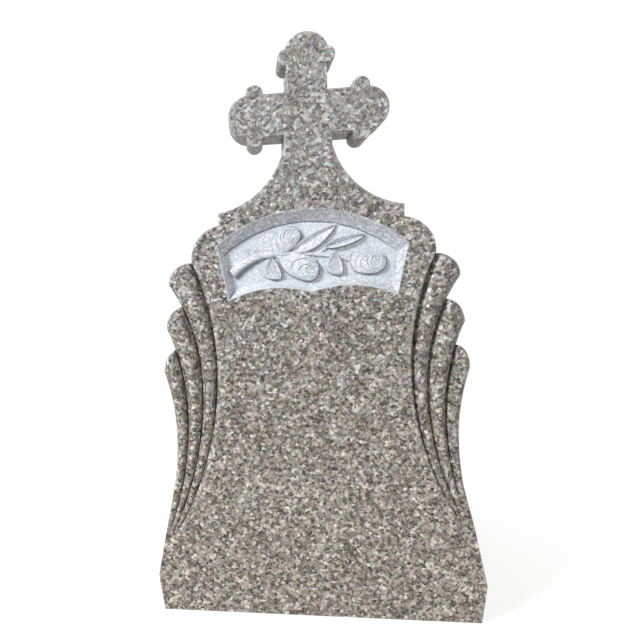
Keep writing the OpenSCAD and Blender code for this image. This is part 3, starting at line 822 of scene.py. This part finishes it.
def build_leaf(name, base, tip, up, low, mid_h, edge_h, curl=0.0, veins=7, belly=0.82, blunt=0.8):
    """A leaf folded along its midrib.

    up and low are the half widths on the two sides of the rib, and mid_h and edge_h the heights
    at the rib and at the edges. curl bows the leaf sideways, a belly under 1 is nearer to the
    base, and a smaller blunt gives fuller ends."""
    base, tip = np.array(base, float), np.array(tip, float)
    axis = tip - base
    side = np.array([-axis[1], axis[0]]) / np.linalg.norm(axis)
    t = np.linspace(0, 1, LEAF_ROWS + 1)[:, None]
    s = np.linspace(-1, 1, LEAF_COLS + 1)[None, :]
    half = np.where(s > 0, up, low)
    shape = np.maximum(LEAST_LEAF, np.sin(math.pi * t ** belly)) ** blunt
    aside = np.abs(s)
    off = aside * half * shape
    vein = VEIN_D * np.maximum(0, np.sin(math.pi * (veins * t - VEIN_SLANT * aside * half))) ** VEIN_PEAK
    ends = np.minimum(1, 6 * t + 0.45) * np.minimum(1, 5 * (1 - t) + 0.5)
    rib = np.exp(-(off / RIB_W) ** 2) * (1 - t) ** 0.5
    h = (mid_h + (edge_h - mid_h) * aside ** 1.15) * ends + RIB_H * rib - vein * (1 - aside) ** 0.3
    h -= RIM_DROP * np.maximum(0, aside - (1 - RIM_SHARE)) / RIM_SHARE
    across = s * half * shape + curl * np.sin(math.pi * t)
    top = np.stack([base[0] + axis[0] * t + side[0] * across, base[1] + axis[1] * t + side[1] * across,
                    np.maximum(1.0, h)], axis=2)
    # Painted shade in the creases beside the midrib, fading towards the tip.
    shade = 0.75 * np.exp(-((off - 1.6) / 0.8) ** 2) * (1 - t) ** 0.3
    keep(solid_sheet(name, top, shade), "frosted_granite", name)


ROSE_POINTS, EYE_ROWS, BODY_ROWS = 260, 50, 96
PETAL = 0.32                         # how far the petals' rims swing in and out, in petals
LOW_END = 0.38                       # height of a rose at its calyx, as a share of its head's
SMOOTH_WAVES, OVERHANG = 4, 1.15     # the inner petals' rounder outline, and its reach past the real one
EYE_MOST = 0.72                      # the eye fills at most this share of the way to the outline
DARKEST = math.radians(60)           # the painted shade in the lines between the petals is darkest on this side


def rose_reach(heart, outline):
    """Angles round the heart, the outline's distance at each, and that distance rounded off."""
    loop = spline(outline, ROSE_POINTS * 6, closed=True)[:-1] - heart
    angle = np.unwrap(np.arctan2(loop[:, 1], loop[:, 0]))
    if angle[-1] < angle[0]:
        loop, angle = loop[::-1], angle[::-1]
    spin = np.linspace(angle[0], angle[0] + 2 * math.pi, ROSE_POINTS, endpoint=False)
    reach = np.interp(spin, angle, np.hypot(loop[:, 0], loop[:, 1]), period=2 * math.pi)
    waves = np.fft.rfft(reach)
    waves[SMOOTH_WAVES:] = 0
    return spin, reach, np.minimum(np.fft.irfft(waves, ROSE_POINTS), reach * OVERHANG)


def build_rose(name, heart, outline, eye, turns, body, start, high):
    """An opening rose: petals wound round its heart and filled out to its outline.

    The outline starts at the calyx. eye is the tight bud's half length, half height and tilt,
    turns and body count the petals in it and round it, and start is the angle they wind from."""
    heart, calyx = np.array(heart, float), np.array(outline[0], float)
    spin, reach, rounded = rose_reach(heart, outline)
    a, b, tilt = eye
    turn = math.radians(tilt)
    inner = a * b / np.hypot(b * np.cos(spin - turn), a * np.sin(spin - turn))
    inner = np.minimum(inner, EYE_MOST * reach)
    wound = ((spin - math.radians(start)) / (2 * math.pi)) % 1.0
    lobe = 1.5 * (spin - math.radians(start))
    levels = []
    for j in range(1, EYE_ROWS + BODY_ROWS + 1):
        if j <= EYE_ROWS:
            t = j / EYE_ROWS
            far, count, wide = inner * t, turns * t ** 0.9 - wound, inner / turns
            base, lip, foot = high * (0.78 + 0.17 * t * t), 2.0 * min(1.0, 0.3 + t), 0.0
        else:
            t = (j - EYE_ROWS) / BODY_ROWS
            limit = rounded + (reach - rounded) * t ** 2
            far, wide = inner + (limit - inner) * t, (limit - inner) / body
            count = turns + body * t ** 0.9 - wound
            base = high * (0.95 - 0.17 * t ** 1.5) * max(0.0, 1 - t ** 9) ** 0.4
            lip = (1.2 + 1.3 * np.clip(wide / 14, 0, 1)) * (1 - t ** 5)
            foot = max(0.0, (t - 0.93) / 0.07)
        count = count + PETAL * (np.abs(np.cos(lobe - 1.1 * count)) - 0.64)
        part = count - np.floor(count)
        wall = np.clip(part * wide / 1.3, 0, 1)
        saw = wall * wall * (3 - 2 * wall) * (1 - part) ** 0.85
        fold = 0.5 * (1 - t) * np.sin(3 * spin + 5 * t) if j > EYE_ROWS else 0
        spot = np.stack([heart[0] + far * np.cos(spin), heart[1] + far * np.sin(spin)], 1)
        rise = np.clip((spot - calyx) @ (heart - calyx) / ((heart - calyx) @ (heart - calyx)), 0, 1)
        height = (base + lip * (saw - 0.45) + fold) * (LOW_END + (1 - LOW_END) * rise * (2 - rise))
        # Painted shade in the gaps between the petals and round the rose's foot.
        gap = np.minimum(part * 1.2, 1 - part) * wide
        line = np.exp(-(gap / 0.8) ** 2) * np.clip(wide / 4, 0.5, 1) * (1 - t ** 6)
        shade = np.maximum(line * (0.32 + 0.4 * np.cos(0.5 * (spin - DARKEST)) ** 4), foot)
        levels.append(np.column_stack([spot, height, shade]))
    # The outermost ring lies low and takes painted shade.
    levels[-1][:, 2:] = 1.5, 0.6
    grid = np.concatenate(levels + [[(heart[0], heart[1], levels[0][:, 2].mean(), 0.3)]])
    n, last = ROSE_POINTS, len(grid) - 1
    faces = [(last, k, (k + 1) % n) for k in range(n)] + ring_faces(len(levels), n)
    obj = carve(name, grid[:, :3], grid[:, 3], faces, range(last - n, last))
    keep(obj, "frosted_granite", name)


def build_branch(name, path, n, *nodes, arcs=22, knots=()):
    """A half-round branch on the panel floor in n steps: path holds across, up and radius.

    A knot is its distance along the branch, the radius it adds and half its length."""
    p = spline(path, n)
    run = np.gradient(p[:, :2], axis=0)
    run /= np.linalg.norm(run, axis=1)[:, None]
    length = np.concatenate([[0], np.cumsum(np.hypot(*np.diff(p[:, :2], axis=0).T))])
    r = p[:, 2] + sum(size * np.exp(-((length - at) / wide) ** 2) for at, size, wide in knots)
    r = (r * (1 + 0.025 * np.sin(length * 0.21) + 0.02 * np.sin(length * 0.53 + 1)))[:, None]
    q = np.linspace(0, math.pi, arcs + 1)[None, :]
    bark = 0.3 * np.sin(5 * q + length[:, None] * 0.05) * r / 12
    off = -np.cos(q) * r
    high = np.maximum(0, (r * 0.92 + bark) * np.sin(q) ** 0.9)
    high[:, [0, -1]] = 0.5
    top = np.stack([p[:, :1] - run[:, 1:] * off, p[:, 1:2] + run[:, :1] * off, high], axis=2)
    # Painted shade along the branch's foot on the floor, and on the lower right side of its thick end,
    # away from the light.
    lower_right_shade = np.clip((0.46 - q / math.pi) / 0.2, 0, 1) * np.clip((r - 6.5) / 3, 0, 1) * 0.85
    shade = np.maximum(np.clip(1 - np.sin(q) * 3.2, 0, 1) * 0.5, lower_right_shade)
    keep(solid_sheet(name, top, shade), "frosted_granite", *nodes)


build_rose("upper_rose", (-40, 54),
           [(-75, 8), (-80, 29), (-76, 46), (-65, 59), (-52, 67), (-37, 69), (-25, 62), (-19, 48),
            (-25, 34), (-37, 21), (-50, 13), (-64, 8)],
           eye=(19, 11.5, 28), turns=2.5, body=2.4, start=170, high=11.0)
build_rose("lower_rose", (0, -27),
           [(-68, 4), (-52, 8), (-26, 11), (0, 3), (14, -9), (18, -26), (12, -42), (0, -49),
            (-15, -48), (-32, -41), (-49, -31), (-62, -15)],
           eye=(13, 12, 0), turns=2.7, body=2.4, start=100, high=11.0)
build_rose("right_rose", (134, -13),
           [(82, -4), (87, 7), (98, 7), (111, 1), (123, 4), (140, 4), (152, -3), (155, -15),
            (150, -28), (138, -37), (124, -39), (108, -38), (92, -32), (83, -19)],
           eye=(12.5, 12, 0), turns=2.6, body=3.4, start=80, high=10.5)
build_leaf("top_left_leaf", (-39, 15), (54, 67), 9, 20, 2.5, 8.0, curl=1.5)
build_leaf("top_right_leaf", (33, 22), (112, 43), 11, 9, 2.5, 10.5, blunt=0.6)
build_leaf("lower_left_leaf", (-81, 4), (-63, -42), 6, 27, 3.5, 11.5, curl=-1.0, veins=5, belly=1.15,
           blunt=0.55)
build_leaf("lower_right_leaf", (51, 8), (63, -38), 6, 27, 3.0, 11.0, curl=1.0, veins=5, belly=1.1,
           blunt=0.6)
build_leaf("left_leaf", (-102, 11), (-138, 25), 7.5, 7, 2.0, 4.5, veins=4)
build_branch("rose_stem",
             [(-166, -29, 12), (-143, -11, 11.2), (-120, 2, 9.2), (-98, 9, 7.2), (-68, 10, 5.6),
              (-27, 10, 4.6), (23, 6, 4.1), (63, -1, 3.9), (88, -11, 3.9)],
             150, "rose_stem", knots=((60, 1.0, 6), (94, 1.6, 7), (150, 1.0, 6)))
build_branch("upper_stalk", [(-78, 8, 4.5), (-70, 11, 4.5), (-64, 17, 5)], 24, arcs=14)
build_branch("lower_stalk", [(-74, 10, 4), (-67, 5, 4.5), (-58, 0, 5)], 24, arcs=14)
build_branch("leaf_stalk", [(16, 7, 2.6), (27, 15, 2.6), (40, 23, 2.2)], 24, arcs=14)

# ---------------------------------------------------------------- floor, light and camera
FLOOR_HALF = 3.0                     # metres
SHADOW_NEAR, SHADOW_FAR = 0.42, 0.95     # the shadow fades to white between these distances


def pale_floor():
    """Looks white, with a shadow near the stone, and is a plain grey floor to the light."""
    m = new_material("pale_floor")
    place = m.add("ShaderNodeTexCoord").outputs["Object"]
    away = m.add("ShaderNodeVectorMath", {0: place}, operation="LENGTH").outputs["Value"]
    far = m.add("ShaderNodeMapRange", {"Value": away}, interpolation_type="SMOOTHSTEP")
    far.inputs["From Min"].default_value = SHADOW_NEAR
    far.inputs["From Max"].default_value = SHADOW_FAR
    matte = m.add("ShaderNodeBsdfDiffuse", in_Color=(0.62, 0.62, 0.62, 1))
    dim = m.add("ShaderNodeBsdfDiffuse", in_Color=(0.30, 0.30, 0.30, 1))
    glow = m.add("ShaderNodeEmission", in_Strength=0.82)
    shown = m.add("ShaderNodeAddShader", {0: dim.outputs[0], 1: glow.outputs[0]})
    blank = m.add("ShaderNodeEmission", in_Strength=1.0)
    faded = m.add("ShaderNodeMixShader", {0: far.outputs[0], 1: shown.outputs[0], 2: blank.outputs[0]})
    return m.finish(m.add("ShaderNodeMixShader", {0: m.seen(), 1: matte.outputs[0], 2: faded.outputs[0]}))


def build_floor():
    mesh = bpy.data.meshes.new("floor")
    bm = bmesh.new()
    bmesh.ops.create_grid(bm, x_segments=8, y_segments=8, size=FLOOR_HALF)
    bm.to_mesh(mesh)
    bm.free()
    mesh.materials.append(pale_floor())
    obj = bpy.data.objects.new("floor", mesh)
    bpy.context.scene.collection.objects.link(obj)
    return obj


def studio():
    """Soft light from all round that looks white in the picture."""
    w = Nodes(bpy.data.worlds.new("studio"), "ShaderNodeOutputWorld")
    soft = w.add("ShaderNodeBackground", in_Color=(1.0, 0.98, 0.95, 1), in_Strength=0.32)
    white = w.add("ShaderNodeBackground", in_Color=(1, 1, 1, 1), in_Strength=1.0)
    return w.finish(w.add("ShaderNodeMixShader", {0: w.seen(), 1: soft.outputs[0], 2: white.outputs[0]}))


def lamp(name, place, target, size, power, colour):
    """A round area lamp at place, turned to its target, in metres and watts."""
    data = bpy.data.lights.new(name, "AREA")
    data.shape, data.size, data.energy, data.color = "DISK", size, power, colour
    obj = bpy.data.objects.new(name, data)
    bpy.context.scene.collection.objects.link(obj)
    obj.location = place
    obj.rotation_mode = "QUATERNION"
    obj.rotation_quaternion = (Vector(target) - Vector(place)).to_track_quat("-Z", "Y")


floor = build_floor()
bpy.context.scene.world = studio()
lamp("key", (-2.5, -2.0, 2.6), (0, 0, 0.7), 0.7, 168, (0.94, 0.978, 1.0))
lamp("fill", (2.0, -2.4, 1.2), (0, 0, 0.5), 1.6, 26, (1.0, 0.975, 0.94))

# Where the camera stands, in metres, and how it is turned from looking straight along Y
STAND = (-0.1391, -1.2916, 0.7524)
YAW, PITCH, ROLL = math.radians(8.459), math.radians(-4.0), math.radians(2.219)
LENS, SENSOR = 32.36, 36.0           # millimetres
SHIFT = 0.25                         # the frame lies this share of its width right of the lens
NEAREST, FARTHEST = 0.1, 50

turn = (Matrix.Rotation(YAW, 3, "Z") @ Matrix.Rotation(PITCH, 3, "X") @ Matrix.Rotation(ROLL, 3, "Y"))
camera = bpy.data.objects.new("camera", bpy.data.cameras.new("camera"))
bpy.context.scene.collection.objects.link(camera)
camera.data.sensor_width, camera.data.lens, camera.data.shift_x = SENSOR, LENS, SHIFT
camera.data.clip_start, camera.data.clip_end = NEAREST, FARTHEST
camera.rotation_mode = "QUATERNION"
camera.rotation_quaternion = (turn @ Matrix.Rotation(math.radians(90), 3, "X")).to_quaternion()
camera.location = STAND
bpy.context.scene.camera = camera
bpy.context.scene.view_settings.view_transform = "Standard"
